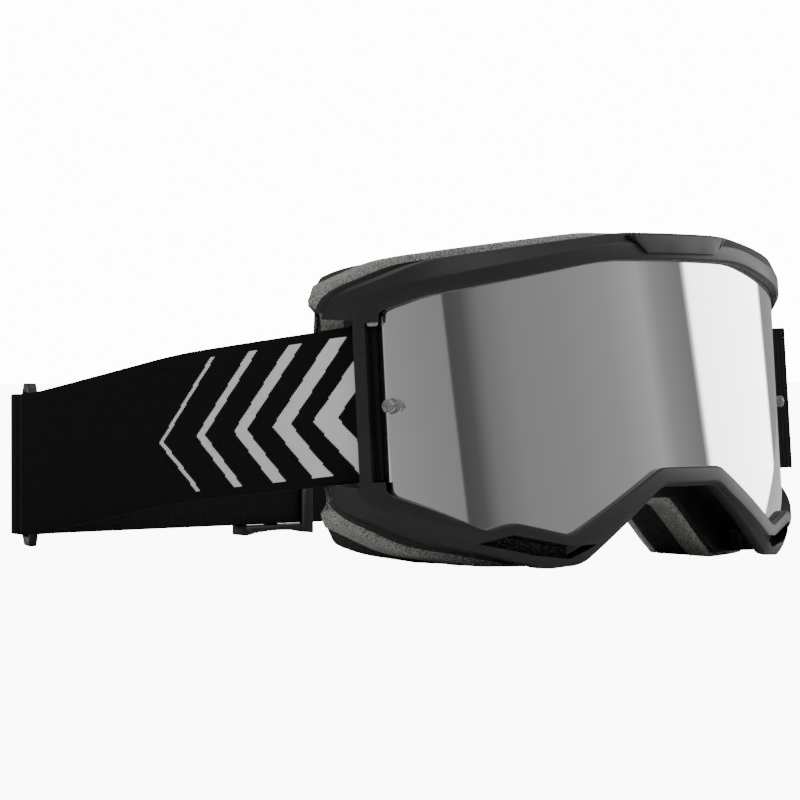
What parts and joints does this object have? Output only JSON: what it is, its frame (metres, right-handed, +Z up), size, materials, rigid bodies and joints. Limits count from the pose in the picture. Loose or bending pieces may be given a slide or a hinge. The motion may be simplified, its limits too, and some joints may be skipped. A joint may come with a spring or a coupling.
{
  "type": "motocross goggles",
  "caption": "Moulded goggle frame with a curved mirrored lens, layered face foam and an adjustable elastic strap loop that tilts up and down.",
  "frame": {"origin": "on the floor under the middle of the goggles and strap loop", "axes": "+Z up, -Y the way the wearer looks, +X towards the wearer's left"},
  "size_m": [0.2259, 0.2021, 0.0968],
  "materials": {
    "frame": "satin moulded polyurethane",
    "lens": "silver mirror coating",
    "post": "smoky translucent plastic",
    "badge": "satin plate",
    "grey_foam": "open-cell grey foam",
    "black_foam": "open-cell black foam",
    "fleece": "brushed fleece",
    "vent_foam": "coarse filter foam",
    "strap": "woven elastic",
    "buckle": "satin moulded plastic"
  },
  "bodies": {
    "goggles": {"outer_frame": "frame", "face_flange": "frame", "lens": "lens", "tear_off_post_left": "post", "tear_off_post_right": "post", "post_washer_left": "post", "post_washer_right": "post", "brow_badge": "badge", "face_foam_base": "grey_foam", "face_foam_core": "black_foam", "face_fleece": "fleece", "brow_vent_foam": "vent_foam", "cheek_vent_foam_left": "vent_foam", "cheek_vent_foam_right": "vent_foam", "strap_end_left": "strap", "strap_end_right": "strap"},
    "strap_loop": {"strap_short": "strap", "strap_long": "strap", "strap_return": "strap"},
    "ring": {"ring": "buckle"},
    "slider": {"slider": "buckle"}
  },
  "joints": [
    {"name": "strap_tilt", "type": "hinge", "parent": "goggles", "child": "strap_loop", "pos_m": [0, -0.0499, 0.047], "axis": [1, 0, 0], "range_deg": [-12, 12]},
    {"name": "slider_slide", "type": "slide", "parent": "strap_loop", "child": "slider", "axis": [1, 0, 0], "range_m": [-0.045, 0.03], "deforming": ["strap_return"]},
    {"name": "ring_rock", "type": "hinge", "parent": "strap_loop", "child": "ring", "pos_m": [-0.11018, 0.08602, 0.026], "axis": [0, 0, 1], "range_deg": [-6, 6]}
  ]
}
